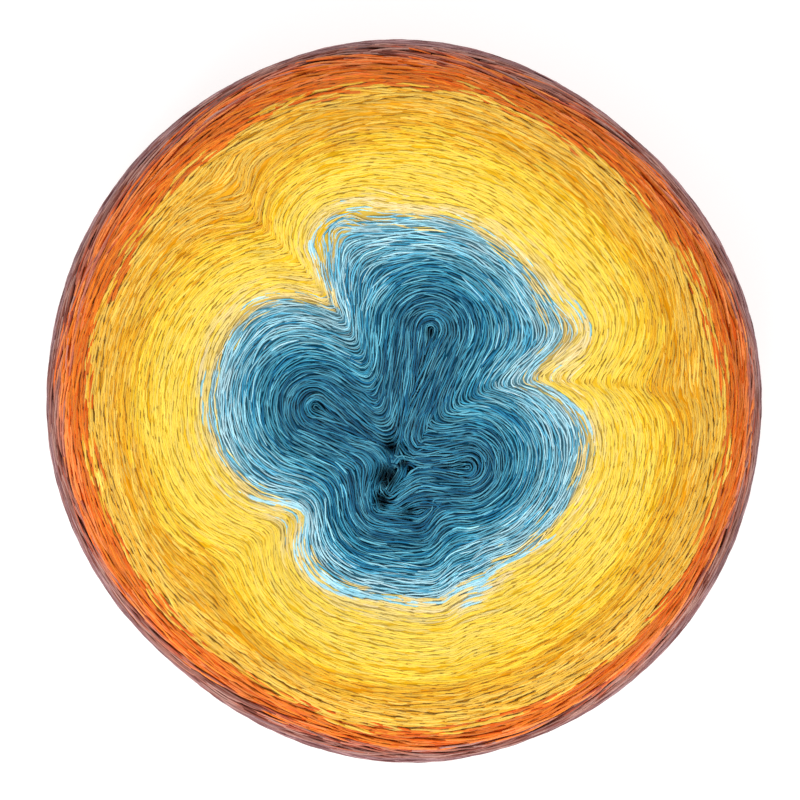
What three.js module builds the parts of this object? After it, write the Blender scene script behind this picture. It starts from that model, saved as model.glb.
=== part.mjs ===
import * as THREE from 'three';

// A cake of wound yarn that stands on one flat end: millimetres, +Z up,
// with the origin under its middle on the surface that it stands on.

// The whole winding: its mean radius, its height and the slow waves of its outline
const radius = 75;
const height = 75;
const outlineWaves = [
  { count: 2, size: 1.0, turn: 127 },
  { count: 4, size: 0.45, turn: 5 },
];

// The rounded edges round both ends, and the side between them
const topEdge = { width: 13, depth: 16 };
const footEdge = { width: 13, depth: 14 };
const sideSwell = 0.9;
const sideWaves = { count: 6, size: 0.3, twist: 0.1 };

// The slits that the soft core has closed into, each from its start over a bend to its end
const slits = [
  { start: [-1.5, -10.7], bend: [2.5, 3.4], end: [5.7, 14.9] },
  { start: [-1.5, -10.7], bend: [-9.7, -6.7], end: [-18.5, -1.3] },
  { start: [-1.5, -10.7], bend: [1.3, -13.9], end: [13.3, -13.9] },
  { start: [-1.5, -10.7], bend: [-3.6, -15.8], end: [-4.8, -22.1] },
  { start: [-4.8, -22.1], bend: [-0.8, -23.4], end: [2.9, -23.8] },
];

// The creases and bulges that run outwards between the lobes. Push moves the wound layers
// in (above 0) or out, near and far are the widths at the two ends, a low soft value makes
// a sharp fold, and groove is how deep the crease cuts into the top.
const folds = [
  { start: [-5, 3.4], bend: [-14.5, 17.5], end: [-43, 49.5], push: 6, near: 3, far: 7, soft: 0.25, groove: 3 },
  { start: [7.6, -3], bend: [28.6, 4.6], end: [66.5, 0.6], push: 5, near: 3, far: 8, soft: 0.25, groove: 2.2 },
  { start: [-11.4, -16.2], bend: [-21.9, -22.5], end: [-48, -37.7], push: 7, near: 3, far: 7, soft: 0.3, groove: 2 },
  { start: [4.4, -20.8], bend: [18.1, -33.4], end: [30.7, -46], push: 2.2, near: 2, far: 7, soft: 0.4, groove: 1 },
  { start: [-5, 23.4], bend: [-12.4, 35], end: [-22, 49.6], push: -3, near: 6, far: 9, soft: 1, groove: 0 },
  { start: [16, 13.9], bend: [36.4, 16.6], end: [60, 23.4], push: -6, near: 5, far: 9, soft: 0.8, groove: 0 },
  { start: [24.4, -10.3], bend: [39.1, -9.3], end: [51.8, -8.2], push: -2.5, near: 5, far: 9, soft: 1, groove: 0 },
];
const grooveWidth = 2.6;

// The pits where the slits gape
const pits = [
  { at: [5.5, 14.7], depth: 4, width: 2.2 },
  { at: [-18.5, -1.3], depth: 4, width: 2.2 },
  { at: [13.3, -13.9], depth: 3.5, width: 2.2 },
  { at: [-1.9, -9.5], depth: 6, width: 2.4 },
  { at: [0.2, -13.7], depth: 6, width: 2.4 },
  { at: [-3.8, -16.5], depth: 12, width: 2.8 },
  { at: [-4.8, -22.1], depth: 8, width: 2.4 },
  { at: [1.9, -22.9], depth: 4, width: 2.2 },
];

// How the layers pass from the lobed core to the round outside, by distance from the middle
const roundFrom = 18;
const roundTo = 72;
const coreSpread = 1.45;
const cornerBlend = { core: 0.25, outside: 1.85, from: 4, to: 40 };
const foldFade = 8;

// The sunken middle of the top and the low swell of its lobes, by layer
const dish = { depth: 8, from: 8, to: 62 };
const lobeSwell = { size: 2.2, layer: 20, width: 9 };
const slitGroove = { depth: 3, width: 2.6 };

// The hollow that the winding spindle left in the foot
const footHollow = { radius: 18, depth: 5 };

// The fineness of the surface
const coreRings = 24;
const roundCount = 120;
const faceRings = 10;
const edgeRings = 5;
const sideRings = 6;
const footRings = [
  { reach: 50, count: 96 },
  { reach: 38, count: 72 },
  { reach: 27, count: 54 },
  { reach: 18, count: 36 },
  { reach: 14, count: 28 },
  { reach: 10, count: 20 },
  { reach: 5, count: 12 },
];

function smoothRise(from, to, value) {
  const part = THREE.MathUtils.clamp((value - from) / (to - from), 0, 1);
  return part * part * (3 - 2 * part);
}

// The radius of the outline in one direction
function outlineAt(angle) {
  let reach = radius;
  for (const wave of outlineWaves) {
    reach += wave.size * Math.cos(wave.count * (angle - THREE.MathUtils.degToRad(wave.turn)));
  }
  return reach;
}

// The distance from a point to a bent line, and the place along it: 0 start, 1 bend, 2 end
function alongLine(x, y, line) {
  const corners = [line.start, line.bend, line.end];
  let distance = Infinity;
  let place = 0;
  for (let i = 0; i < 2; i += 1) {
    const [ax, ay] = corners[i];
    const dx = corners[i + 1][0] - ax;
    const dy = corners[i + 1][1] - ay;
    const part = THREE.MathUtils.clamp(((x - ax) * dx + (y - ay) * dy) / (dx * dx + dy * dy), 0, 1);
    const here = Math.hypot(x - ax - part * dx, y - ay - part * dy);
    if (here < distance) {
      distance = here;
      place = i + part;
    }
  }
  return { distance, place };
}

// The distance to the nearest slit, with the corners between slits rounded off
function slitDistance(x, y, blend) {
  const distances = slits.map((slit) => alongLine(x, y, slit).distance);
  const nearest = Math.min(...distances);
  const sum = distances.reduce((total, distance) => total + Math.exp((nearest - distance) / blend), 0);
  return nearest - blend * Math.log(sum);
}

// The wound layer at a point of the top: about 0 at the slits and 75 at the outline
function layerAt(x, y, reach) {
  const blend = cornerBlend.core
    + (cornerBlend.outside - cornerBlend.core) * smoothRise(cornerBlend.from, cornerBlend.to, reach);
  const distance = slitDistance(x, y, blend);
  const round = smoothRise(roundFrom, roundTo, reach);
  let push = 0;
  for (const fold of folds) {
    const line = alongLine(x, y, fold);
    const width = fold.near + (fold.far - fold.near) * line.place / 2;
    const shape = Math.exp(fold.soft - Math.hypot(line.distance / width, fold.soft));
    push += fold.push * (1 - Math.abs(line.place - 1)) * shape;
  }
  return (1 - round) * coreSpread * distance + round * reach
    + push * smoothRise(0, foldFade, distance);
}

// The depth of the creases, slits and pits at a point of the top
function cutAt(x, y, layer) {
  let cut = slitGroove.depth * Math.exp(-((Math.max(layer, 0) / slitGroove.width) ** 2));
  for (const fold of folds) {
    const line = alongLine(x, y, fold);
    cut += fold.groove * (1 - Math.abs(line.place - 1)) * Math.exp(-((line.distance / grooveWidth) ** 2));
  }
  for (const pit of pits) {
    const distance = Math.hypot(x - pit.at[0], y - pit.at[1]);
    cut += pit.depth * Math.exp(-((distance / pit.width) ** 2));
  }
  return cut;
}

// The height of the top end, where reach is 75 all round the outline
function topHeight(x, y, reach) {
  const layer = layerAt(x, y, reach);
  const sink = dish.depth * (1 - smoothRise(dish.from, dish.to, layer));
  const swell = lobeSwell.size * Math.exp(-(((layer - lobeSwell.layer) / lobeSwell.width) ** 2));
  return height - sink + swell - cutAt(x, y, layer);
}

// The surface is rings of points from the middle of the top, down the side, to the foot
const rings = [];

function addRing(count, pointAt) {
  const ring = [];
  for (let i = 0; i < count; i += 1) {
    ring.push(pointAt((2 * Math.PI * i) / count));
  }
  rings.push(ring);
}

function placeOnOutline(angle, reach, z) {
  const distance = outlineAt(angle) * reach / radius;
  return [distance * Math.cos(angle), distance * Math.sin(angle), z];
}

// How far the side stands back from its fullest place, and its low waves
function sideReach(angle, z) {
  const low = footEdge.depth;
  const high = height - topEdge.depth;
  const part = (z - low) / (high - low);
  const wave = sideWaves.size * Math.cos(sideWaves.count * angle + sideWaves.twist * z);
  return radius - sideSwell * (2 * part - 1) ** 2 + wave * Math.sin(Math.PI * part);
}

function addTopFace() {
  const flatReach = radius - topEdge.width;
  const coreReach = flatReach * 0.58;
  const topPoint = (reach) => (angle) => {
    const point = placeOnOutline(angle, reach, 0);
    point[2] = topHeight(point[0], point[1], reach);
    return point;
  };
  addRing(1, topPoint(0));
  for (let i = 1; i <= coreRings; i += 1) {
    addRing(Math.round(roundCount * i / coreRings), topPoint(coreReach * i / coreRings));
  }
  for (let i = 1; i <= faceRings; i += 1) {
    addRing(roundCount, topPoint(coreReach + (flatReach - coreReach) * i / faceRings));
  }
}

function addTopEdge() {
  const outer = radius - sideSwell;
  for (let i = 1; i <= edgeRings; i += 1) {
    const turn = (Math.PI / 2) * i / edgeRings;
    const reach = radius - topEdge.width + (outer - radius + topEdge.width) * Math.sin(turn);
    const drop = topEdge.depth * (1 - Math.cos(turn));
    const fade = Math.cos(turn);
    addRing(roundCount, (angle) => {
      const point = placeOnOutline(angle, reach, 0);
      const relief = topHeight(point[0], point[1], reach) - height;
      point[2] = height - drop + relief * fade;
      return point;
    });
  }
}

function addSide() {
  const high = height - topEdge.depth;
  for (let i = 1; i < sideRings; i += 1) {
    const z = high + (footEdge.depth - high) * i / sideRings;
    addRing(roundCount, (angle) => placeOnOutline(angle, sideReach(angle, z), z));
  }
}

function addFoot() {
  const outer = radius - sideSwell;
  for (let i = 0; i <= edgeRings; i += 1) {
    const turn = (Math.PI / 2) * (1 - i / edgeRings);
    const reach = radius - footEdge.width + (outer - radius + footEdge.width) * Math.sin(turn);
    const z = footEdge.depth * (1 - Math.cos(turn));
    addRing(roundCount, (angle) => placeOnOutline(angle, reach, i === edgeRings ? 0 : z));
  }
  for (const { reach, count } of footRings) {
    const z = footHollow.depth * (1 - smoothRise(0, footHollow.radius, reach));
    addRing(count, (angle) => placeOnOutline(angle, reach, z));
  }
  addRing(1, () => [0, 0, footHollow.depth]);
}

// Triangles between two rings that may have different numbers of points
function stitchRings(faces, first, firstStart, second, secondStart) {
  const firstSteps = first.length > 1 ? first.length : 0;
  const secondSteps = second.length > 1 ? second.length : 0;
  const inFirst = (i) => firstStart + (i % first.length);
  const inSecond = (i) => secondStart + (i % second.length);
  let a = 0;
  let b = 0;
  while (a < firstSteps || b < secondSteps) {
    const stepSecond = a >= firstSteps || (b < secondSteps && (b + 1) * firstSteps <= (a + 1) * secondSteps);
    if (stepSecond) {
      faces.push(inFirst(a), inSecond(b), inSecond(b + 1));
      b += 1;
    } else {
      faces.push(inFirst(a), inSecond(b), inFirst(a + 1));
      a += 1;
    }
  }
}

function cakeGeometry() {
  addTopFace();
  addTopEdge();
  addSide();
  addFoot();
  const points = [];
  const faces = [];
  let start = 0;
  rings.forEach((ring, i) => {
    points.push(...ring.flat());
    const next = rings[i + 1];
    if (next) {
      stitchRings(faces, ring, start, next, start + ring.length);
    }
    start += ring.length;
  });
  const geometry = new THREE.BufferGeometry();
  geometry.setAttribute('position', new THREE.Float32BufferAttribute(points, 3));
  geometry.setIndex(faces);
  geometry.computeVertexNormals();
  return geometry;
}

const woundYarn = new THREE.MeshStandardMaterial({ color: 0xeeb63e, roughness: 0.85, metalness: 0 });
const cake = new THREE.Mesh(cakeGeometry(), woundYarn);
cake.name = 'wound_cake';

const yarnCake = new THREE.Group();
yarnCake.add(cake);

export default yarnCake;
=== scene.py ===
import math

import bpy
import numpy as np
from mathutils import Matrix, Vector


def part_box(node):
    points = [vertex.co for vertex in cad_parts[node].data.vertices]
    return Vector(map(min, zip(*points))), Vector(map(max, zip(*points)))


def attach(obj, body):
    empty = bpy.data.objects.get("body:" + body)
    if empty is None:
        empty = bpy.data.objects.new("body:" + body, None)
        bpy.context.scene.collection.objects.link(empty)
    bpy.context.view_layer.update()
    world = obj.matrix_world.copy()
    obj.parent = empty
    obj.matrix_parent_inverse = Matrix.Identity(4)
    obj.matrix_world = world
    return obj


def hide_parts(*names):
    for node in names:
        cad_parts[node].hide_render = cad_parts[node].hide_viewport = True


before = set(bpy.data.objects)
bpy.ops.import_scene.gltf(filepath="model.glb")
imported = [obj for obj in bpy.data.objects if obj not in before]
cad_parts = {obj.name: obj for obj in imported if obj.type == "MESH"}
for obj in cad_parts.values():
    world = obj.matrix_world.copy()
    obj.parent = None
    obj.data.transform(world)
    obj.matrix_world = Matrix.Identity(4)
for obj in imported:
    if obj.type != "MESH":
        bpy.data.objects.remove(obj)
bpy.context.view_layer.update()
cakeLow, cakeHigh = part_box("wound_cake")
print("frame loaded:", sorted(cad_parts))

# The lengths of the cake are millimetres, and mm turns them into metres. The floor, the lights and
# the camera are given in metres
mm = 0.001

winding = {
    "radius": 75.0,
    "height": (cakeHigh[2] - cakeLow[2]) / mm,
    "outlineWaves": ((2, 1.0, 127.0), (4, 0.45, 5.0)),  # count, size, turn
    "topEdge": (13.0, 16.0),  # width, depth
    "footEdge": (13.0, 14.0),
    "sideSwell": 0.9,
    "sideWaves": (6, 0.3, 0.1),  # count, size, twist
    "footHollow": (18.0, 5.0),  # radius, depth
    "roundFrom": 18.0,  # the layers turn from the lobed core to the round outline
    "roundTo": 72.0,
    "coreSpread": 1.45,
    "cornerBlend": (0.25, 1.85, 4.0, 40.0),  # in the core, outside, from, to
    "foldFade": 8.0,
    "dish": (8.0, 8.0, 62.0),  # depth, from layer, to layer
    "lobeSwell": (2.2, 20.0, 9.0),  # size, layer, width
    "slitGroove": (3.0, 2.6),  # depth, width
    "grooveWidth": 2.6,
}

# The slits of the closed core: start, bend and end
slits = (
    ((-1.5, -10.7), (2.5, 3.4), (5.7, 14.9)),
    ((-1.5, -10.7), (-9.7, -6.7), (-18.5, -1.3)),
    ((-1.5, -10.7), (1.3, -13.9), (13.3, -13.9)),
    ((-1.5, -10.7), (-3.6, -15.8), (-4.8, -22.1)),
    ((-4.8, -22.1), (-0.8, -23.4), (2.9, -23.8)),
)

# Creases and bulges: start, bend, end, push, near width, far width, softness, groove depth
folds = (
    ((-5, 3.4), (-14.5, 17.5), (-43, 49.5), 6, 3, 7, 0.25, 3),
    ((7.6, -3), (28.6, 4.6), (66.5, 0.6), 5, 3, 8, 0.25, 2.2),
    ((-11.4, -16.2), (-21.9, -22.5), (-48, -37.7), 7, 3, 7, 0.3, 2),
    ((4.4, -20.8), (18.1, -33.4), (30.7, -46), 2.2, 2, 7, 0.4, 1),
    ((-5, 23.4), (-12.4, 35), (-22, 49.6), -3, 6, 9, 1, 0),
    ((16, 13.9), (36.4, 16.6), (60, 23.4), -6, 5, 9, 0.8, 0),
    ((24.4, -10.3), (39.1, -9.3), (51.8, -8.2), -2.5, 5, 9, 1, 0),
)

# Pits where the slits gape: x, y, depth, width
pits = (
    (5.5, 14.7, 4, 2.2),
    (-18.5, -1.3, 4, 2.2),
    (13.3, -13.9, 3.5, 2.2),
    (-1.9, -9.5, 6, 2.4),
    (0.2, -13.7, 6, 2.4),
    (-3.8, -16.5, 12, 2.8),
    (-4.8, -22.1, 8, 2.4),
    (1.9, -22.9, 4, 2.2),
)

# The outermost yarns lie a little otherwise than the layers below them. Their folds last longer
# outwards and are steeper on the clockwise side. They bridge the pits, run together towards the
# middle, and those inside the gaping slit run into it
outermost = {
    # corners, push at each corner, near width, far width, softness, skew
    "folds": (
        (((-5, 3.4), (-13.5, 18), (-21, 28), (-31, 38), (-37, 51)),
         (0, 6.4, 7.6, 7.4, 0), 3, 6.5, 0.12, 1.6),
        (((7.6, -3), (18, 2.6), (28.6, 4.6), (45, 3.5), (66.5, 0.6)),
         (0, 3.4, 5.6, 6.6, 0), 2.6, 5.5, 0.2, 1.35),
        (((-11.4, -16.2), (-21.2, -23.6), (-34, -31), (-48, -38)),
         (0, 10, 6.5, 0), 3.6, 10, 0.4, 1.05),
        (((4.6, -23.6), (11, -26.5), (17.5, -30.5), (31, -46)),
         (0, 2.8, 3.4, 0), 3, 7, 0.5, 1.6),
        (((-6, 23.4), (-15, 36), (-25, 50)), (0, -9.5, 0), 5.5, 8, 0.9, 1),
        (((16, 12.5), (37, 14.2), (60, 20)), (0, -7.5, 0), 4.5, 8, 0.8, 1),
        (((24.4, -10.3), (39.1, -9.3), (51.8, -8.2)), (0, -2.5, 0), 5, 9, 1, 1),
        (((-4, -28), (-4, -42), (-4, -55)), (1.2, 2.6, 0), 6, 9, 1, 1),
        (((-22, 9), (-31, 18.5), (-41, 29)), (0, -2.2, 0), 4.5, 7, 1, 1),
    ),
    # How much softer a fold is at both ends, and how many stretches before its last corner that starts
    "endSoftness": (0.6, 1.3),
    "cornerBlend": 1.3,
    "creaseShade": (2, 0.7),  # how many folds are sharp creases, and how far their shade reaches
    "slitBridge": 0.12,  # the part of the slits' depth that these yarns sink
    # x, y, depth, width
    "pits": (
        (5.6, 14.6, 1.8, 1.2),
        (-18.5, -1.4, 1.5, 1.0),
        (11.8, -13.6, 1.2, 0.9),
        (-2.4, -9.3, 4.5, 1.7),
        (0.0, -12.9, 3.5, 1.2),
        (-3.4, -15.4, 6.5, 2.5),
        (-4.7, -20.6, 5.0, 1.6),
        (0.8, -23.0, 2.5, 1.2),
    ),
    "openFrom": 7.0,  # no yarn starts where the pits are deeper
    "hollow": (0.5, 6.0),  # the pits shade the yarns from this depth on, and fully at that one
    "eyes": ((5.6, 14.6, 0.2), (-18.5, -1.4, 0.1), (13.3, -13.9, 0.02)),  # x, y, opening
    "openSlits": 3,  # the first slits of the core, which these yarns follow too
    "runTogether": 3.0,
    "eastSlit": 2,
    "eastNearness": (0.72, 6.0, 22.0),  # its distance counts for this part nearby, and in full past the last
    "gapingSlit": ((-1.5, -10.7), (-3.6, -15.8), (-4.9, -22.3), (2.5, -23.2), (11, -21.2)),
    "gapeStarts": (0.5, 0.9),  # from, to
    "gapeInside": 50.0,  # far enough to leave the inner side out
    "gapeEnds": (3.0, 4.0, 7.0),  # from, to, how many millimetres further
    "tongueEdge": ((1.3, -13.9), (-0.4, -16.4), (-3.0, -18.9)),
}


def smoothRise(low, high, value):
    part = np.clip((value - low) / (high - low), 0, 1)
    return part * part * (3 - 2 * part)


def outlineAt(angle):
    reach = winding["radius"]
    for count, size, turn in winding["outlineWaves"]:
        reach = reach + size * np.cos(count * (angle - math.radians(turn)))
    return reach


def reachAt(x, y):
    # 75 all round the outline
    return np.hypot(x, y) * winding["radius"] / outlineAt(np.arctan2(y, x))


def alongLine(x, y, corners):
    # The distance from a line with corners, and the nearest place along it: 1 at its second corner
    distance = np.full(np.shape(x), np.inf)
    place = np.zeros(np.shape(x))
    for i, ((ax, ay), (bx, by)) in enumerate(zip(corners[:-1], corners[1:])):
        dx, dy = bx - ax, by - ay
        part = np.clip(((x - ax) * dx + (y - ay) * dy) / (dx * dx + dy * dy), 0, 1)
        here = np.hypot(x - ax - part * dx, y - ay - part * dy)
        place = np.where(here < distance, i + part, place)
        distance = np.minimum(distance, here)
    return distance, place


def rightOf(x, y, start, end):
    # Whether a point lies to the right of a line, seen along it
    return (end[0] - start[0]) * (y - start[1]) < (end[1] - start[1]) * (x - start[0])


def slitDistances(x, y):
    return np.array([alongLine(x, y, slit)[0] for slit in slits])


def yarnSlitDistances(x, y):
    lines = [alongLine(x, y, slit) for slit in slits[: outermost["openSlits"]]]
    meet = outermost["runTogether"]
    # Place runs to 2 along a slit, so the yarns run together at its inner end only
    distances = [away + meet * (1 - place / 2) for away, place in lines]
    away, _ = lines[outermost["eastSlit"]]
    nearness, low, high = outermost["eastNearness"]
    distances[outermost["eastSlit"]] -= away * (1 - nearness) * (1 - smoothRise(low, high, away))
    # The gaping slit and its spur act on their outer sides only
    gaping = outermost["gapingSlit"]
    away, place = alongLine(x, y, gaping)
    inside = ~rightOf(x, y, *gaping[1:3]) & ~rightOf(x, y, *gaping[2:4]) & ~rightOf(x, y, *gaping[3:])
    low, high, further = outermost["gapeEnds"]
    further = further * smoothRise(low, high, place)
    blocked = outermost["gapeInside"] * inside * smoothRise(*outermost["gapeStarts"], place)
    distances.append(away + meet + further + blocked)
    distances.append(alongLine(x, y, outermost["tongueEdge"])[0] + meet / 2)
    for eyeX, eyeY, opening in outermost["eyes"]:
        near = opening * np.exp(-((x - eyeX) ** 2 + (y - eyeY) ** 2) / (2 * opening) ** 2)
        distances = [away - near for away in distances]
    return np.array(distances)


def layerAt(x, y):
    # The wound layer at a point of the top: about 0 at the slits and 75 at the outline
    pushes = [(fold[:3], (0, fold[3], 0), *fold[4:7], 1) for fold in folds]
    return layerFrom(x, y, slitDistances(x, y), winding["cornerBlend"][0], pushes)


def dyeLayerAt(x, y):
    # The layer that gives the outermost yarns their dye: their folds, round the slits below
    distances, blend = slitDistances(x, y), winding["cornerBlend"][0]
    return layerFrom(x, y, distances, blend, outermost["folds"], *outermost["endSoftness"])


def yarnLayerAt(x, y):
    # The layer that the outermost yarns follow
    distances, blend = yarnSlitDistances(x, y), outermost["cornerBlend"]
    return layerFrom(x, y, distances, blend, outermost["folds"], *outermost["endSoftness"])


def layerFrom(x, y, distances, inCore, pushes, softer=0, beforeEnd=1):
    # Blends the distances from the slits into one, adds the folds and passes to the round outline
    reach = reachAt(x, y)
    _, outside, low, high = winding["cornerBlend"]
    blend = inCore + (outside - inCore) * smoothRise(low, high, reach)
    nearest = distances.min(0)
    distance = nearest - blend * np.log(np.exp((nearest - distances) / blend).sum(0))
    roundness = smoothRise(winding["roundFrom"], winding["roundTo"], reach)
    push = 0
    for corners, sizes, near, far, soft, skew in pushes:
        away, place = alongLine(x, y, corners)
        last = len(corners) - 1
        segment = np.clip(place.astype(int), 0, last - 1)
        sides = [rightOf(x, y, start, end) for start, end in zip(corners[:-1], corners[1:])]
        clockwise = np.choose(segment, sides)
        width = (near + (far - near) * place / last) * np.where(clockwise, 1 / skew, skew)
        soft = soft + softer * np.clip(np.maximum(1 - place, place - last + beforeEnd), 0, 1)
        size = np.interp(place, np.arange(last + 1), sizes)
        push = push + size * np.exp(soft - np.hypot(away / width, soft))
    layer = (1 - roundness) * winding["coreSpread"] * distance + roundness * reach
    return layer + push * smoothRise(0, winding["foldFade"], distance)


def topHeight(x, y, slitFollow=1, pitRows=pits):
    # The height of the top, rounded down towards the outline
    layer = layerAt(x, y)
    depth, low, high = winding["dish"]
    size, swellLayer, swellWidth = winding["lobeSwell"]
    grooveDepth, slitWidth = winding["slitGroove"]
    relief = -depth * (1 - smoothRise(low, high, layer))
    relief = relief + size * np.exp(-(((layer - swellLayer) / swellWidth) ** 2))
    relief = relief - slitFollow * grooveDepth * np.exp(-((np.maximum(layer, 0) / slitWidth) ** 2))
    for start, bend, end, *_, groove in folds:
        away, place = alongLine(x, y, (start, bend, end))
        cut = groove * (1 - abs(place - 1)) * np.exp(-((away / winding["grooveWidth"]) ** 2))
        relief = relief - cut
    relief = relief - pitDepthAt(x, y, pitRows)
    width, drop = winding["topEdge"]
    over = np.clip((reachAt(x, y) - winding["radius"] + width) / width, 0, 1)
    fade = np.sqrt(1 - over**2)
    return winding["height"] - drop * (1 - fade) + relief * fade


def pitDepthAt(x, y, pitRows):
    deep = np.zeros(np.shape(x))
    for pitX, pitY, depth, width in pitRows:
        deep = deep + depth * np.exp(-((x - pitX) ** 2 + (y - pitY) ** 2) / width**2)
    return deep


def yarnTopHeight(x, y):
    return topHeight(x, y, outermost["slitBridge"], outermost["pits"])


def hollowAt(x, y):
    # How far a point of the top lies in the open pits of the middle, from 0 to 1
    return smoothRise(*outermost["hollow"], pitDepthAt(x, y, outermost["pits"]))


def footHeight(x, y):
    # The height of the underside: flat, hollow in the middle and rounded up at the outline
    reach = reachAt(x, y)
    radius, depth = winding["footHollow"]
    width, rise = winding["footEdge"]
    over = np.clip((reach - winding["radius"] + width) / width, 0, 1)
    return depth * (1 - smoothRise(0, radius, reach)) + rise * (1 - np.sqrt(1 - over**2))


# Unrolled lengths of the top edge, the wall and the foot edge
wallHeight = winding["height"] - winding["topEdge"][1] - winding["footEdge"][1]
sideLengths = (22.0, wallHeight, 20.5)


def sidePoint(turn, down):
    # A point of the rounded side, and how far out it lies. Down runs from 0 where the top edge
    # begins to 1 where the foot edge ends
    ends = np.cumsum(sideLengths) / sum(sideLengths)
    topWidth, topDrop = winding["topEdge"]
    footWidth, footRise = winding["footEdge"]
    high = winding["height"] - topDrop
    outer = winding["radius"] - winding["sideSwell"]
    topStart, footStart = winding["radius"] - topWidth, winding["radius"] - footWidth
    topTurn = np.clip(down / ends[0], 0, 1) * math.pi / 2
    footTurn = np.clip((1 - down) / (1 - ends[1]), 0, 1) * math.pi / 2
    part = np.clip((down - ends[0]) / (ends[1] - ends[0]), 0, 1)
    z = high + (footRise - high) * part
    count, size, twist = winding["sideWaves"]
    wave = size * np.cos(count * turn + twist * z) * np.sin(math.pi * part)
    reach = winding["radius"] - winding["sideSwell"] * (2 * part - 1) ** 2 + wave
    onTop, onFoot = down < ends[0], down > ends[1]
    reach = np.where(onTop, topStart + (outer - topStart) * np.sin(topTurn), reach)
    reach = np.where(onFoot, footStart + (outer - footStart) * np.sin(footTurn), reach)
    z = np.where(onTop, winding["height"] - topDrop * (1 - np.cos(topTurn)), z)
    z = np.where(onFoot, footRise * (1 - np.cos(footTurn)), z)
    distance = outlineAt(turn) * reach / winding["radius"]
    return np.stack([distance * np.cos(turn), distance * np.sin(turn), z], -1), reach


def unit(vectors):
    shortest = 1e-9  # keeps a vector of no length from dividing by zero
    return vectors / np.maximum(np.linalg.norm(vectors, axis=-1, keepdims=True), shortest)


def heightNormals(x, y, heightAt, up):
    # Unit normals of the top or foot, pointing up (1) or down (-1)
    step = 0.2
    slopeX = (heightAt(x + step, y) - heightAt(x - step, y)) / (2 * step)
    slopeY = (heightAt(x, y + step) - heightAt(x, y - step)) / (2 * step)
    return unit(np.stack([-slopeX, -slopeY, np.ones_like(x)], -1) * up)


def sideNormals(turn, down):
    step = 0.002
    around = sidePoint(turn + step, down)[0] - sidePoint(turn - step, down)[0]
    downwards = sidePoint(turn, down + step)[0] - sidePoint(turn, down - step)[0]
    return unit(np.cross(downwards, around))


# Dyes of the yarn from the core outwards: the layer where one starts, its sRGB colour, how much its
# plies differ in strength, and how bright the painted shade of its gaps is
dyes = (
    (0, (0.20, 0.52, 0.64), 1.5, 0.65),  # teal
    (14, (0.25, 0.62, 0.74), 1.7, 0.6),  # blue
    (21, (0.40, 0.72, 0.82), 1.8, 0.6),  # sky blue
    (26, (0.55, 0.81, 0.89), 1.7, 0.6),  # pale blue
    (31, (0.67, 0.85, 0.90), 1.4, 0.75),  # ice blue
    (34.9, (0.91, 0.82, 0.56), 1.2, 0.85),  # cream
    (37, (0.89, 0.79, 0.44), 1.1, 0.95),  # straw
    (40, (0.93, 0.80, 0.30), 1.1, 0.95),  # yellow
    (52, (0.91, 0.75, 0.20), 1.25, 0.95),  # golden yellow
    (57, (0.86, 0.65, 0.15), 1.2, 1.0),  # amber
    (61, (0.88, 0.69, 0.24), 1.3, 1.0),  # honey
    (67, (0.85, 0.43, 0.10), 1.2, 1.0),  # burnt orange
    (70.8, (0.92, 0.51, 0.24), 1.2, 1.0),  # orange
    (72, (0.75, 0.42, 0.32), 1.3, 0.9),  # rose
    (72.8, (0.62, 0.40, 0.35), 1.5, 0.85),  # dusty rose
    (74.6, (0.56, 0.37, 0.37), 1.5, 0.8),  # plum
)
dyeing = {
    "gapDepth": 1.5,  # the painted shade of the gaps is deeper in colour, as light that bounces between the yarns takes up their colour
    "greyPly": 0.15,
    "pliesInTurn": 4,  # plain, weaker, stronger and greyer
}

# The bands near the outline lean to one side of the cake: size, turn, and where it grows and fades
dyeLean = (1.2, 300.0, 38.0, 50.0, 69.5, 73.0)


def linear(colour):
    # From sRGB to the linear colour that materials take
    colour = np.asarray(colour, float)
    return np.where(colour <= 0.04045, colour / 12.92, ((colour + 0.055) / 1.055) ** 2.4)


def dyeTones():
    # For each dye the painted shade of its gaps, a darker copy of its colour, then the colours of its plies:
    # plain, weaker, stronger and greyer
    tones = []
    for _, colour, strength, gapShade in dyes:
        colour = np.array(colour)
        # Painted shade: the gaps between the yarns get a darker, deeper copy of the dye
        gap = gapShade * colour ** dyeing["gapDepth"]
        greyer = colour + (colour.mean() - colour) * dyeing["greyPly"]
        tones.append([gap, colour, colour ** (1 / strength), colour**strength, greyer])
    return linear(tones)


def dyeRow(layer):
    # Which dye a layer has
    starts = np.array([row[0] for row in dyes])
    return np.clip(np.searchsorted(starts, layer, side="right") - 1, 0, len(dyes) - 1)


def leaningLayer(layer, x, y):
    # The layer whose dye shows at a point, after the lean of the bands
    size, turn, grows, full, holds, fades = dyeLean
    lean = size * np.cos(np.arctan2(y, x) - math.radians(turn))
    return layer - lean * smoothRise(grows, full, layer) * (1 - smoothRise(holds, fades, layer))


random = np.random.default_rng(20)

# How a yarn is laid along its layer
laying = {
    "jump": 3.0,  # a layer that is further off than this has broken off
    "leastSteepness": 0.3,
    "pull": 0.8,  # how much of the way back to its layer one step goes
    "turnBack": -0.2,  # cosine of the sharpest turn that a yarn follows
}


def layerSlope(points, layerFunction):
    # The layer at each point, and the way in which it grows
    step = 0.15
    x, y = points[:, 0], points[:, 1]
    slopeX = (layerFunction(x + step, y) - layerFunction(x - step, y)) / (2 * step)
    slopeY = (layerFunction(x, y + step) - layerFunction(x, y - step)) / (2 * step)
    return layerFunction(x, y), np.stack([slopeX, slopeY], 1)


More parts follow.
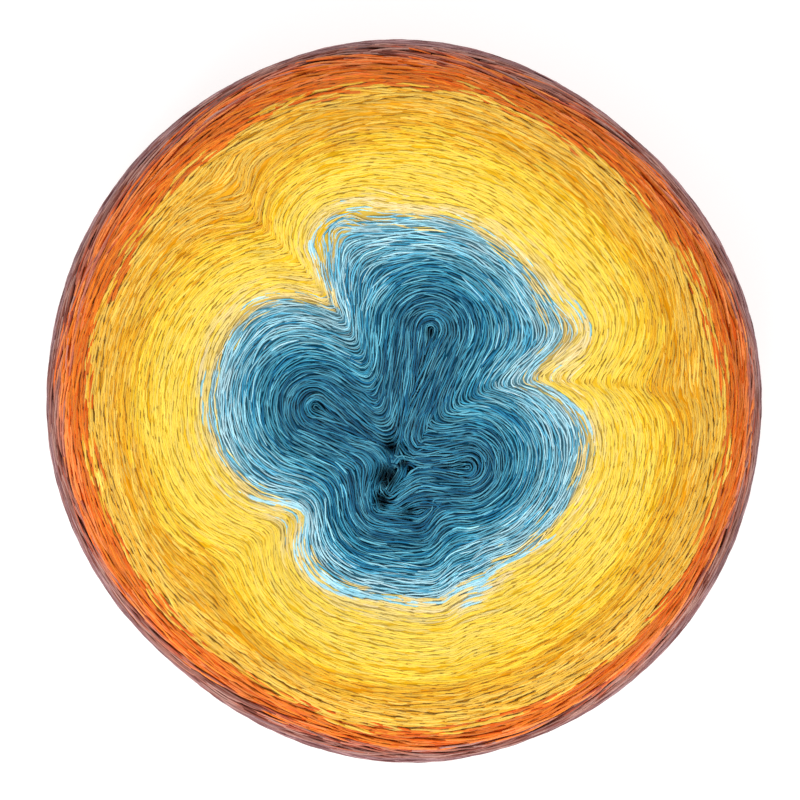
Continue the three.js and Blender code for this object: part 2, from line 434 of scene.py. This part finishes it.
def scatterSeeds(candidates, directions, alongGap, acrossGap):
    # Keeps the candidates that have an oblong of free surface round them
    kept = np.zeros((len(candidates), 2))
    chosen = []
    for i in range(len(candidates)):
        away = kept[: len(chosen)] - candidates[i]
        directionX, directionY = directions[i]
        along = np.abs(away[:, 0] * directionX + away[:, 1] * directionY)
        across = np.abs(away[:, 0] * directionY - away[:, 1] * directionX)
        if not np.any((along < alongGap) & (across < acrossGap)):
            kept[len(chosen)] = candidates[i]
            chosen.append(i)
    return np.array(chosen)


def followLayers(seeds, drift, layerFunction, settings):
    # Walks both ways from each seed along its wound layer, with a slow drift across the layers.
    # Where the layer breaks off or turns back, the yarn goes on as it went
    middle, stepLength = settings["steps"] // 2, settings["stepLength"]
    paths = np.zeros((len(seeds), settings["steps"] + 1, 2))
    paths[:, middle] = seeds
    startLayer, _ = layerSlope(seeds, layerFunction)
    for way in (1, -1):
        points, target, heading = seeds.copy(), startLayer.copy(), None
        for i in range(1, middle + 1):
            _, slope = layerSlope(points, layerFunction)
            ahead = unit(np.stack([-slope[:, 1], slope[:, 0]], 1)) * way
            if heading is not None:
                turnsBack = (ahead * heading).sum(1) < laying["turnBack"]
                ahead = np.where(turnsBack[:, None], heading, ahead)
            heading = ahead
            points = points + ahead * stepLength
            layer, slope = layerSlope(points, layerFunction)
            target = target + drift * way * stepLength
            target = np.where(abs(layer - target) > laying["jump"], layer, target)
            steepness = np.maximum((slope**2).sum(1), laying["leastSteepness"])
            points = points - ((layer - target) / steepness)[:, None] * slope * laying["pull"]
            paths[:, middle + way * i] = points
    return paths


def layYarns(candidates, layerFunction, settings, meanDrift=0):
    # Yarns along the layers, from those candidates that have room
    _, slope = layerSlope(candidates, layerFunction)
    directions = unit(np.stack([-slope[:, 1], slope[:, 0]], 1))
    seeds = candidates[scatterSeeds(candidates, directions, *settings["gaps"])]
    drift = random.normal(meanDrift, settings["drift"], len(seeds))
    return followLayers(seeds, drift, layerFunction, settings)


def creaseShade(points):
    # How much a yarn is shaded where it bends in the sharp creases
    creases, width = outermost["creaseShade"]
    shade = 0
    for corners, sizes, *_ in outermost["folds"][:creases]:
        away, place = alongLine(points[..., 0], points[..., 1], corners)
        size = np.interp(place, np.arange(len(corners)), sizes) / max(sizes)
        shade = shade + size * np.exp(-((away / width) ** 2))
    return shade


def spread(size, shape):
    # Scatter without far outliers
    furthest = 2 * size
    return np.clip(random.normal(0, size, shape), -furthest, furthest)


# What all yarns share when their plies are twisted
twisting = {
    "diveCurve": 3,  # how late towards its ends a yarn dives, and a ply tapers
    "taperCurve": 4,
    "taper": 0.55,
    "twistScatter": (0.75, 1.35),
    "widthScatter": (0.85, 1.15),
    "creasedYarns": 0.5,  # the share of the yarns that the creases shade, and how much
    "creaseShade": 0.9,
    "hollowShade": 0.7,
}


def twistPlies(centres, normals, layers, lift, settings):
    # Rings of three points (left, ridge, right) along each ply of each yarn, and their colours
    count, points = centres.shape[:2]
    ahead = unit(np.gradient(centres, axis=1))
    sideways = unit(np.cross(normals, ahead))
    stepLengths = np.linalg.norm(np.diff(centres, axis=1), axis=2)
    travelled = np.concatenate([np.zeros((count, 1)), np.cumsum(stepLengths, 1)], 1)
    part = np.linspace(-1, 1, points)[None, :]
    dive = lift[:, None] - settings["dive"] * np.abs(part) ** twisting["diveCurve"]
    width, ridge = settings["plySize"]
    swingSide, swingUp = settings["swing"]
    phase = random.uniform(0, 2 * math.pi, (count, 1))
    twist = settings["twist"] * random.uniform(*twisting["twistScatter"], (count, 1))
    yarnTone = random.normal(1, settings["yarnTone"], (count, 1, 1))
    stagger = spread(settings["stagger"], (count, 1))
    palette = dyeTones()
    firstDye = random.integers(0, dyeing["pliesInTurn"], (count, 1))
    # Plies taper to both ends, and some yarns are shaded in the creases
    taper = 1 - twisting["taper"] * part ** twisting["taperCurve"]
    creased = random.uniform(0, 1, (count, 1)) < twisting["creasedYarns"]
    paintedCreaseShade = twisting["creaseShade"] * creaseShade(centres) * creased * settings["creases"]
    paintedHollowShade = 1 - twisting["hollowShade"] * hollowAt(centres[..., 0], centres[..., 1])
    paintedHollowShade = paintedHollowShade[..., None, None] if settings["onTop"] else 1
    rings, colours = [], []
    for ply in range(settings["plies"]):
        turn = phase + 2 * math.pi * (travelled / twist + ply / settings["plies"])
        line = centres + sideways * (swingSide * np.cos(turn))[..., None]
        line = line + normals * (swingUp * np.sin(turn) + dive)[..., None]
        plyWidth = width * taper * random.uniform(*twisting["widthScatter"], (count, 1))
        wide = sideways * plyWidth[..., None]
        high = normals * ridge
        rings.append(np.stack([line - wide - high, line + high, line + wide - high], 2))
        row = dyeRow(layers + stagger + spread(settings["plyStagger"], (count, 1)))
        colour = palette[row, 1 + (firstDye + ply) % dyeing["pliesInTurn"]] * yarnTone
        colour = colour * random.normal(1, settings["plyTone"], (count, 1, 1))
        # Painted shade: in the creases and along the sides of each ply the colour goes towards the painted
        # shade of the gaps, and in the pits it is darkened
        colour = colour + (palette[row, 0] - colour) * paintedCreaseShade[..., None]
        edge = colour + (palette[row, 0] - colour) * settings["edgeShade"]
        colours.append(np.stack([edge, colour, edge], 2) * paintedHollowShade)
    lengths = np.tile(travelled[:, -1], settings["plies"])
    return np.concatenate(rings), np.clip(np.concatenate(colours), 0, 1), lengths


# The fibre map of a ply starts somewhere in this length, and its flat cell has a margin
fibreLength = 200.0
cellMargin = 0.08


def meshFromPlies(name, rings, colours, lengths, streaks):
    # One closed strand for each ply, with three sides and a small cap at both ends. Its colour holds the
    # dye with its painted shade, and the strength of its fibre streaks is its alpha
    count, points = rings.shape[:2]
    first = (np.arange(count) * points * 3)[:, None, None]
    ring = (np.arange(points - 1) * 3)[None, :, None]
    edge, nextEdge = np.arange(3)[None, None, :], np.array([1, 2, 0])[None, None, :]
    base = first + ring
    quads = np.stack([base + edge, base + 3 + edge, base + 3 + nextEdge, base + nextEdge], -1)
    startCaps = first[:, 0] + np.array([[0, 1, 2]])
    endCaps = first[:, 0] + (points - 1) * 3 + np.array([[2, 1, 0]])
    corners = np.concatenate([quads.ravel(), startCaps.ravel(), endCaps.ravel()])
    quadCount, capCount = count * (points - 1) * 3, 2 * count
    starts = np.concatenate([np.arange(quadCount) * 4, quadCount * 4 + np.arange(capCount) * 3])
    mesh = bpy.data.meshes.new(name)
    mesh.vertices.add(count * points * 3)
    mesh.vertices.foreach_set("co", (rings * mm).astype(np.float32).ravel())
    mesh.loops.add(len(corners))
    mesh.loops.foreach_set("vertex_index", corners.astype(np.int32))
    mesh.polygons.add(quadCount + capCount)
    mesh.polygons.foreach_set("loop_start", starts.astype(np.int32))
    mesh.polygons.foreach_set("use_smooth", np.ones(quadCount + capCount, bool))
    mesh.update(calc_edges=True)
    # The colour holds the dye together with the painted shade of the ply edges, creases and pits
    rgba = np.full((count, points, 3, 4), streaks, np.float32)
    rgba[..., :3] = colours
    mesh.color_attributes.new("dye_and_shade", "FLOAT_COLOR", "POINT").data.foreach_set("color", rgba.ravel())
    # Fibre map: millimetres along the ply, and once round it from 0 to 1
    offset = random.uniform(0, fibreLength, (count, 1))
    along = offset + np.linspace(0, 1, points)[None, :] * lengths[:, None]
    alongQuads = np.stack([along[:, :-1], along[:, 1:], along[:, 1:], along[:, :-1]], -1)
    alongQuads = np.broadcast_to(alongQuads[:, :, None, :], quads.shape)
    aroundPly = np.array([[0, 0, 1, 1], [1, 1, 2, 2], [2, 2, 3, 3]]) / 3
    aroundQuads = np.broadcast_to(aroundPly[None, None], quads.shape)
    aroundCaps = np.tile([0, 1 / 3, 2 / 3], 2 * count)
    capAlong = np.repeat(np.concatenate([along[:, 0], along[:, -1]]), 3)
    u = np.concatenate([alongQuads.ravel(), capAlong])
    v = np.concatenate([aroundQuads.ravel(), aroundCaps])
    fibre = np.stack([u, v], 1).astype(np.float32)
    mesh.uv_layers.new(name="fibre").uv.foreach_set("vector", fibre.ravel())
    # Flat map: a small cell of its own for each ply
    cellsAcross = math.ceil(math.sqrt(count))
    cellSize = 1 - 2 * cellMargin
    quadCells = np.repeat(np.arange(count), (points - 1) * aroundPly.size)
    capCells = np.tile(np.repeat(np.arange(count), 3), 2)
    cell = np.concatenate([quadCells, capCells])
    start, length = offset[cell, 0], lengths[cell]
    flatX = (cell % cellsAcross + cellMargin + cellSize * (u - start) / length) / cellsAcross
    flatY = (cell // cellsAcross + cellMargin + cellSize * v) / cellsAcross
    flat = np.stack([flatX, flatY], 1).astype(np.float32)
    mesh.uv_layers.new(name="OFBake").uv.foreach_set("vector", flat.ravel())
    piece = bpy.data.objects.new(name, mesh)
    bpy.context.scene.collection.objects.link(piece)
    print(name, "has", count, "plies and", 2 * quadCount + capCount, "triangles")
    return piece


# Yarns on the top, in three bands of layers
topBands = {
    "yarn_core": {
        "layers": (0.2, 36.5),
        "candidates": 34000,
        "gaps": (3.0, 0.25),  # free length and width round the middle of a yarn
        "steps": 10,
        "stepLength": 0.88,
        "drift": 0.10,  # scatter of how far a yarn crosses its layers, for each millimetre
        "lift": (-0.3, 0.25),
        "plies": 1,
        "plySize": (0.195, 0.10),  # half width, and half height of the ridge
        "swing": (0.12, 0.06),  # sideways, and up and down
        "twist": 7.5,  # length of one turn
        "dive": 0.8,  # how far both ends go down between the other yarns
        "yarnTone": 0.10,  # scatter of brightness
        "plyTone": 0.10,
        "stagger": 2.0,  # scatter of the layer where the dye changes
        "plyStagger": 1.0,
        "edgeShade": 0.42,
        "creases": True,
        "onTop": True,
        "streaks": 1.0,
    },
    "yarn_face": {
        "layers": (36.0, 59.0),
        "candidates": 26000,
        "gaps": (5.6, 0.48),
        "steps": 12,
        "stepLength": 1.3,
        "drift": 0.06,
        "lift": (-0.1, 0.1),
        "plies": 2,
        "plySize": (0.31, 0.08),
        "swing": (0.21, 0.05),
        "twist": 8.0,
        "dive": 0.4,
        "yarnTone": 0.03,
        "plyTone": 0.04,
        "stagger": 1.9,
        "plyStagger": 1.4,
        "edgeShade": 0.3,
        "creases": True,
        "onTop": True,
        "streaks": 0.5,
    },
    "yarn_rim": {
        "layers": (59.0, 69.5),
        "candidates": 20000,
        "gaps": (5.8, 0.47),
        "steps": 12,
        "stepLength": 1.3,
        "drift": 0.05,
        "lift": (-0.12, 0.12),
        "plies": 2,
        "plySize": (0.30, 0.09),
        "swing": (0.20, 0.06),
        "twist": 8.0,
        "dive": 0.5,
        "yarnTone": 0.04,
        "plyTone": 0.05,
        "stagger": 0.8,
        "plyStagger": 0.5,
        "edgeShade": 0.25,
        "creases": False,
        "onTop": True,
        "streaks": 0.6,
    },
}
topLaying = {
    "margin": 2.0,  # candidates are scattered this far past the outline
    "spares": 3,  # for each one that may be needed
    "meanDrift": -0.01,
    "edge": 73.5,  # no yarn of the top runs further out
}


def topYarns(name, settings):
    low, high = settings["layers"]
    reach = winding["radius"] + topLaying["margin"]
    candidates = random.uniform(-reach, reach, (settings["candidates"] * topLaying["spares"], 2))
    layer = yarnLayerAt(candidates[:, 0], candidates[:, 1])
    free = pitDepthAt(candidates[:, 0], candidates[:, 1], outermost["pits"]) < outermost["openFrom"]
    candidates = candidates[(layer >= low) & (layer < high) & free][: settings["candidates"]]
    paths = layYarns(candidates, yarnLayerAt, settings, topLaying["meanDrift"])
    reach = reachAt(paths[..., 0], paths[..., 1])
    paths = paths * np.minimum(1, topLaying["edge"] / np.maximum(reach, 1))[..., None]
    x, y = paths[..., 0], paths[..., 1]
    centres = np.stack([x, y, yarnTopHeight(x, y)], -1)
    layers = leaningLayer(dyeLayerAt(x, y), x, y)
    lift = random.uniform(*settings["lift"], len(paths))
    normals = heightNormals(x, y, yarnTopHeight, 1)
    plies = twistPlies(centres, normals, layers, lift, settings)
    return meshFromPlies(name, *plies, settings["streaks"])


# Bundles of yarns that cross the open middle: how many, how wide, how far they sink, and the route
crossings = (
    (7, 1.1, 2.0, ((-10.7, -9.2), (-6.9, -10.3), (-4.7, -12.0), (-3.2, -14.0), (-2.3, -16.0))),
    (5, 0.9, 3.5, ((-0.6, -5.0), (-1.0, -8.0), (-1.6, -11.0), (-2.8, -14.0), (-4.2, -17.5))),
    (4, 0.7, 3.0, ((3.6, -13.0), (1.4, -12.4), (-0.6, -11.2), (-1.8, -12.6), (-3.0, -15.5))),
)
bundling = {
    "smoothing": 3,  # rounds over the corners of the route
    "narrowing": 0.5,
    "scatter": 0.08,
    "sinkCurve": 1.5,
    "deepest": 1.0,  # below the other yarns
    "lift": (0.0, 0.2),
}


def crossingYarns(settings):
    part = np.linspace(0, 1, settings["steps"] + 1)
    paths, sinks = [], []
    for count, width, sink, route in crossings:
        route = np.array(route)
        places = np.linspace(0, 1, len(route))
        line = np.stack([np.interp(part, places, route[:, axis]) for axis in (0, 1)], 1)
        for _ in range(bundling["smoothing"]):
            line[1:-1] = (line[:-2] + line[1:-1] * 2 + line[2:]) / 4
        ahead = unit(np.gradient(line, axis=0))
        across = np.stack([-ahead[:, 1], ahead[:, 0]], 1)
        for i in range(count):
            away = width * (2 * (i + 0.5) / count - 1) * (1 - bundling["narrowing"] * part)
            away = away + random.normal(0, bundling["scatter"])
            paths.append(line + across * away[:, None])
            sinks.append(sink * part ** bundling["sinkCurve"])
    paths, sinks = np.array(paths), np.array(sinks)
    x, y = paths[..., 0], paths[..., 1]
    top = yarnTopHeight(x, y)
    level = np.minimum(top, yarnTopHeight(x[:, :1], y[:, :1]) - sinks)
    centres = np.stack([x, y, np.maximum(level, top - bundling["deepest"])], -1)
    normals = heightNormals(x, y, yarnTopHeight, 1)
    lift = random.uniform(*bundling["lift"], len(paths))
    plies = twistPlies(centres, normals, layerAt(x, y), lift, settings)
    return meshFromPlies("yarn_crossing", *plies, settings["streaks"])


# Yarns of the side: level at both shoulders, and in lozenges of either slope on the wall
sideYarn = {
    "down": (0.055, 0.95),  # parts of the way down between which the yarns have their middles
    "ends": (0.004, 0.996),  # and between which they stay
    "lean": 21.0,  # steepest slope of the yarns on the wall, in degrees
    "leaning": (0.1, 0.9, 0.7),  # parts of the way down where it starts and ends, and its curve
    "lozenges": (4, 0.14),  # how many round the wall, and radians for each millimetre down it
    "strays": 0.25,
    "drift": 0.035,
    "candidates": 24000,
    "gaps": (10.6, 0.80),
    "steps": 12,
    "stepLength": 2.0,
    "lift": (-0.22, 0.05),
    "plies": 2,
    "plySize": (0.40, 0.13),
    "swing": (0.30, 0.12),
    "twist": 14.0,
    "dive": 0.45,
    "yarnTone": 0.06,
    "plyTone": 0.09,
    "stagger": 0.5,
    "plyStagger": 0.5,
    "edgeShade": 0.42,
    "outerTurns": (1.4, 0.24, 0.34),  # the wall has later dye, from and to this part of the way down
    "creases": False,
    "onTop": False,
    "streaks": 0.8,
}


def outerTurnsAt(down):
    # How many layers further out the dye of the wall is
    further, low, high = sideYarn["outerTurns"]
    return further * smoothRise(low, high, down) * smoothRise(low, high, 1 - down)


def sideYarns(settings):
    length, radius = sum(sideLengths), winding["radius"]
    low, high = settings["down"]
    corner = (2 * math.pi * radius, high * length)
    places = random.uniform((0, low * length), corner, (settings["candidates"], 2))
    turn = places[:, 0] / radius
    around, steepness = settings["lozenges"]
    lozenge = np.cos(around * turn) + np.cos(steepness * (places[:, 1] - length / 2))
    way = np.where(lozenge + random.normal(0, settings["strays"], len(turn)) > 0, 1, -1)

    def leanAt(down):
        start, end, curve = settings["leaning"]
        part = np.clip((down / length - start) / (end - start), 0, 1)
        return math.radians(settings["lean"]) * np.sin(math.pi * part) ** curve

    lean = leanAt(places[:, 1]) * way
    directions = np.stack([np.cos(lean), np.sin(lean)], 1)
    chosen = scatterSeeds(places, directions, *settings["gaps"])
    places, way = places[chosen], way[chosen]
    drift = random.normal(0, settings["drift"], len(places))
    middle = settings["steps"] // 2
    paths = np.zeros((len(places), settings["steps"] + 1, 2))
    paths[:, middle] = places
    for step in (1, -1):
        here = places.copy()
        for i in range(1, middle + 1):
            lean = leanAt(here[:, 1]) * way + drift
            here = here + np.stack([np.cos(lean), np.sin(lean)], 1) * step * settings["stepLength"]
            paths[:, middle + step * i] = here
    turn, down = paths[..., 0] / radius, np.clip(paths[..., 1] / length, *settings["ends"])
    centres, reach = sidePoint(turn, down)
    layers = leaningLayer(reach, centres[..., 0], centres[..., 1]) + outerTurnsAt(down)
    lift = random.uniform(*settings["lift"], len(places))
    return twistPlies(centres, sideNormals(turn, down), layers, lift, settings)


def splitSide(rings, colours, lengths):
    # The upper and lower half of the side are pieces of their own
    half = rings[:, rings.shape[1] // 2, 1, 2] > winding["height"] / 2
    pieces = []
    for name, mine in (("yarn_shoulder", half), ("yarn_wall", ~half)):
        plies = rings[mine], colours[mine], lengths[mine]
        pieces.append(meshFromPlies(name, *plies, sideYarn["streaks"]))
    return pieces


# Yarns of the underside, which run round its hollow
footYarn = {
    "reach": (1.0, 68.0),
    "lowest": 0.02,  # pressed flat by the weight of the cake
    "candidates": 9000,
    "gaps": (8.6, 1.0),
    "steps": 10,
    "stepLength": 1.8,
    "drift": 0.05,
    "lift": (-0.45, -0.2),
    "plies": 2,
    "plySize": (0.36, 0.14),
    "swing": (0.32, 0.10),
    "twist": 10.0,
    "dive": 0.7,
    "yarnTone": 0.06,
    "plyTone": 0.07,
    "stagger": 1.5,
    "plyStagger": 1.2,
    "edgeShade": 0.4,
    "creases": False,
    "onTop": False,
    "streaks": 0.8,
}


def footYarns(settings):
    low, high = settings["reach"]
    places = random.uniform(-high, high, (settings["candidates"], 2))
    reach = reachAt(places[:, 0], places[:, 1])
    places = places[(reach > low) & (reach < high)]
    paths = layYarns(places, reachAt, settings)
    x, y = paths[..., 0], paths[..., 1]
    centres = np.stack([x, y, footHeight(x, y)], -1)
    lift = random.uniform(*settings["lift"], len(paths))
    normals = heightNormals(x, y, footHeight, -1)
    layers = leaningLayer(reachAt(x, y), x, y)
    rings, colours, lengths = twistPlies(centres, normals, layers, lift, settings)
    rings[..., 2] = np.maximum(rings[..., 2], settings["lowest"])
    return meshFromPlies("yarn_foot", rings, colours, lengths, settings["streaks"])


# The deeper turns that show in the gaps between the yarns
innerYarn = {
    "spokes": 200,
    "topRings": 84,
    "sideRings": 28,
    "footRings": 18,
    "firstRing": (0.4, 0.1),  # its radius, and the gap between rings while they are extruded
    "openAtFoot": 0.3,  # the hole in the foot before it is filled, in rings
    "slitFollow": 0.4,  # the part of the slits' depth that it sinks
    "below": 0.09,
    "coreBelow": 0.36,  # more in the core, up to these layers
    "coreEdge": (30.0, 38.0),
    "rimBelow": 0.32,  # more at the side and foot, from this reach
    "rimEdge": (69.5, 73.5),
    "hollowShade": 0.1,
    "topFlow": (0.12, 2.5),  # how fast the streaks change along the turns, and across them
    "wallFlow": (6.0, 2.5),  # and round the wall, and up it
}


def innerTurns(settings):
    topRings, sideRings, footRings = settings["topRings"], settings["sideRings"], settings["footRings"]
    radius, gap = np.array(settings["firstRing"]) * mm
    bpy.ops.object.select_all(action="DESELECT")
    bpy.ops.mesh.primitive_circle_add(vertices=settings["spokes"], radius=radius, fill_type="NOTHING")
    piece = bpy.context.object
    piece.name = piece.data.name = "inner_turns"
    bpy.ops.object.mode_set(mode="EDIT")
    bpy.ops.mesh.select_all(action="SELECT")
    for _ in range(topRings + sideRings + footRings - 1):
        bpy.ops.mesh.extrude_edges_move(TRANSFORM_OT_translate={"value": (0, 0, -gap)})
    bpy.ops.object.mode_set(mode="OBJECT")
    # Each ring goes to its place on the top, the side or the foot
    flat = np.zeros(len(piece.data.vertices) * 3, np.float32)
    piece.data.vertices.foreach_get("co", flat)
    tube = flat.reshape(-1, 3)
    ring = np.rint(-tube[:, 2] / gap).astype(int)
    turn = np.arctan2(tube[:, 1], tube[:, 0])
    onTop, onFoot = ring < topRings, ring >= topRings + sideRings
    topReach = (winding["radius"] - winding["topEdge"][0]) * (ring + 0.5) / (topRings - 0.5)
    inward = (ring - topRings - sideRings + 1) / (footRings + settings["openAtFoot"])
    footReach = (winding["radius"] - winding["footEdge"][0]) * (1 - inward)
    flatReach = np.where(onTop, topReach, footReach)
    distance = outlineAt(turn) * flatReach / winding["radius"]
    x, y = distance * np.cos(turn), distance * np.sin(turn)
    down = (ring - topRings + 1) / sideRings
    points, reach = sidePoint(turn, down)
    points = points * (1 - settings["rimBelow"] / winding["radius"])
    sunk = settings["coreBelow"] * (1 - smoothRise(*settings["coreEdge"], layerAt(x, y)))
    sunk = sunk + settings["rimBelow"] * smoothRise(*settings["rimEdge"], topReach)
    raised = footHeight(x, y) + settings["rimBelow"]
    flatHeight = np.where(onTop, topHeight(x, y, settings["slitFollow"]) - sunk, raised)
    points = np.where((onTop | onFoot)[:, None], np.stack([x, y, flatHeight], -1), points)
    piece.data.vertices.foreach_set("co", (points * mm).astype(np.float32).ravel())
    piece.data.update()
    bpy.ops.object.mode_set(mode="EDIT")
    bpy.ops.mesh.select_all(action="SELECT")
    bpy.ops.mesh.fill_holes(sides=0)
    bpy.ops.mesh.select_all(action="SELECT")
    bpy.ops.mesh.normals_make_consistent(inside=False)
    bpy.ops.transform.shrink_fatten(value=-settings["below"] * mm)
    bpy.ops.object.mode_set(mode="OBJECT")
    bpy.ops.object.shade_smooth()
    # Painted shade of the gaps, darker still in the pits, and a flow along the turns for the fine streaks
    layer = np.where(onTop, layerAt(points[:, 0], points[:, 1]), np.where(onFoot, footReach, reach))
    layer = leaningLayer(layer, points[:, 0], points[:, 1])
    layer = layer + np.where(onTop | onFoot, 0, outerTurnsAt(down))
    shade = np.where(onTop, 1 - settings["hollowShade"] * hollowAt(points[:, 0], points[:, 1]), 1)
    rgba = np.ones((len(points), 4), np.float32)
    rgba[:, :3] = dyeTones()[dyeRow(layer), 0] * shade[:, None]
    dyeData = piece.data.color_attributes.new("dye_and_shade", "FLOAT_COLOR", "POINT").data
    dyeData.foreach_set("color", rgba.ravel())
    along, across = settings["topFlow"]
    flow = np.stack([points[:, 0] * along, points[:, 1] * along, layer * across], 1)
    along, across = settings["wallFlow"]
    slant = np.stack([np.sin(turn) * along, np.cos(turn) * along, points[:, 2] * across], 1)
    onWall = ~(onTop | onFoot)
    flow = np.where(onWall[:, None], slant, flow)
    flowData = piece.data.attributes.new("flow", "FLOAT_VECTOR", "POINT").data
    flowData.foreach_set("vector", flow.astype(np.float32).ravel())
    print("inner_turns has", len(piece.data.polygons), "faces")
    return piece


def setInputs(node, values):
    for name, value in values.items():
        node.inputs[name].default_value = value


def newLook(name, values):
    # A new material with its nodes, its links and its shader
    material = bpy.data.materials.new(name)
    material.use_nodes = True
    shader = material.node_tree.nodes["Principled BSDF"]
    setInputs(shader, values)
    return material, material.node_tree.nodes, material.node_tree.links, shader


def multiply(nodes, links, colour, factor, result, strength=None):
    mix = nodes.new("ShaderNodeMix")
    mix.data_type = "RGBA"
    mix.blend_type = "MULTIPLY"
    mix.inputs["Factor"].default_value = 1
    if strength:
        links.new(strength, mix.inputs["Factor"])
    links.new(colour, mix.inputs["A"])
    links.new(factor, mix.inputs["B"])
    links.new(mix.outputs["Result"], result)


def attribute(nodes, name):
    node = nodes.new("ShaderNodeAttribute")
    node.attribute_name = name
    return node


def streakTone(nodes, links, vector, scale, tones):
    # Fine noise along the vector, and the tones that it gives the dye
    streaks = nodes.new("ShaderNodeTexNoise")
    setInputs(streaks, {"Scale": scale, "Detail": 2})
    tone = nodes.new("ShaderNodeMapRange")
    setInputs(tone, tones)
    links.new(vector, streaks.inputs["Vector"])
    links.new(streaks.outputs["Fac"], tone.inputs["Value"])
    return streaks, tone


dyedLook = {
    "shader": {
        "Roughness": 0.5,
        "Specular IOR Level": 0.12,
        "Sheen Weight": 0.05,
        "Sheen Roughness": 0.4,
    },
    "slant": {"Rotation": (0, 0, math.radians(20)), "Scale": (0.9, 7, 1)},
    "streaks": 1.3,
    "tones": {"From Min": 0.3, "From Max": 0.7, "To Min": 0.7, "To Max": 1.25},
    "bump": {"Strength": 0.25, "Distance": 0.1 * mm},
}


def dyedYarn():
    # Twisted fibres: fine streaks that run slantwise round each ply
    material, nodes, links, shader = newLook("dyed_yarn", dyedLook["shader"])
    dye_and_shade = attribute(nodes, "dye_and_shade")
    fibre = nodes.new("ShaderNodeUVMap")
    fibre.uv_map = "fibre"
    slant = nodes.new("ShaderNodeMapping")
    setInputs(slant, dyedLook["slant"])
    links.new(fibre.outputs["UV"], slant.inputs["Vector"])
    vector = slant.outputs["Vector"]
    streaks, tone = streakTone(nodes, links, vector, dyedLook["streaks"], dyedLook["tones"])
    tone.clamp = False
    colour, strength = dye_and_shade.outputs["Color"], dye_and_shade.outputs["Alpha"]
    multiply(nodes, links, colour, tone.outputs["Result"], shader.inputs["Base Color"], strength)
    bump = nodes.new("ShaderNodeBump")
    setInputs(bump, dyedLook["bump"])
    links.new(streaks.outputs["Fac"], bump.inputs["Height"])
    links.new(bump.outputs["Normal"], shader.inputs["Normal"])
    return material


shadedLook = {
    "shader": {"Roughness": 0.85, "Specular IOR Level": 0},
    "streaks": 1,
    "tones": {"From Min": 0.35, "From Max": 0.65, "To Min": 0.78, "To Max": 1.18},
}


def shadedYarn():
    # Streaks that follow the turns, as shaded strands deep in the winding
    material, nodes, links, shader = newLook("shaded_yarn", shadedLook["shader"])
    dye_and_shade = attribute(nodes, "dye_and_shade")
    flow = attribute(nodes, "flow").outputs["Vector"]
    _, tone = streakTone(nodes, links, flow, shadedLook["streaks"], shadedLook["tones"])
    multiply(nodes, links, dye_and_shade.outputs["Color"], tone.outputs["Result"], shader.inputs["Base Color"])
    return material


def windCake():
    yarn = dyedYarn()
    pieces = [topYarns(name, settings) for name, settings in topBands.items()]
    pieces.append(crossingYarns(topBands["yarn_core"]))
    pieces += splitSide(*sideYarns(sideYarn))
    pieces.append(footYarns(footYarn))
    for piece in pieces:
        piece.data.materials.append(yarn)
    inner = innerTurns(innerYarn)
    inner.data.materials.append(shadedYarn())
    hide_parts("wound_cake")
    for piece in pieces + [inner]:
        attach(piece, "root")


windCake()
print("cake wound")

# Pale floor
floorLook = {
    "Base Color": (0.45, 0.45, 0.45, 1),
    "Roughness": 0.9,
    "Emission Color": (1, 1, 1, 1),
    "Emission Strength": 0.66,
}
bpy.ops.object.select_all(action="DESELECT")
bpy.ops.mesh.primitive_plane_add(size=6, location=(0, 0, 0))
floor = bpy.context.object
floor.name = "floor"
floor.data.materials.append(newLook("pale_floor", floorLook)[0])

# Soft studio light, brighter from the front of the cake
studio = {
    # where, size in metres, and watts
    "key": ((-0.25, -0.62, 0.72), 0.6, 6.0),
    "fill": ((0.6, 0.5, 1.3), 1.2, 3.0),
    "sky": 0.9,
}


def areaLight(name, place, size, power):
    light = bpy.data.lights.new(name, "AREA")
    light.size = size
    light.energy = power
    lamp = bpy.data.objects.new(name, light)
    bpy.context.scene.collection.objects.link(lamp)
    lamp.location = place
    lamp.rotation_euler = (-lamp.location).to_track_quat("-Z", "Y").to_euler()


areaLight("key_light", *studio["key"])
areaLight("fill_light", *studio["fill"])
world = bpy.data.worlds.new("studio")
bpy.context.scene.world = world
world.use_nodes = True
setInputs(world.node_tree.nodes["Background"], {"Color": (1, 1, 1, 1), "Strength": studio["sky"]})
bpy.context.scene.view_settings.view_transform = "Standard"

# Camera straight above, far away with a long lens, as in the photo: widths and middle in pixels,
# distance and the height of the widest turns in metres
photo = {"width": 800, "cakeWidth": 713, "middle": (404, 401), "distance": 5.0, "widest": 0.04}
pixel = 2 * winding["radius"] * mm / photo["cakeWidth"]
camera = bpy.data.objects.new("camera", bpy.data.cameras.new("camera"))
bpy.context.scene.collection.objects.link(camera)
middleX = (photo["width"] / 2 - photo["middle"][0]) * pixel
middleY = (photo["middle"][1] - photo["width"] / 2) * pixel
camera.location = (middleX, middleY, photo["distance"])
away = photo["distance"] - photo["widest"]
camera.data.lens = camera.data.sensor_width * away / (photo["width"] * pixel)
camera.data.clip_end = 20
bpy.context.scene.camera = camera
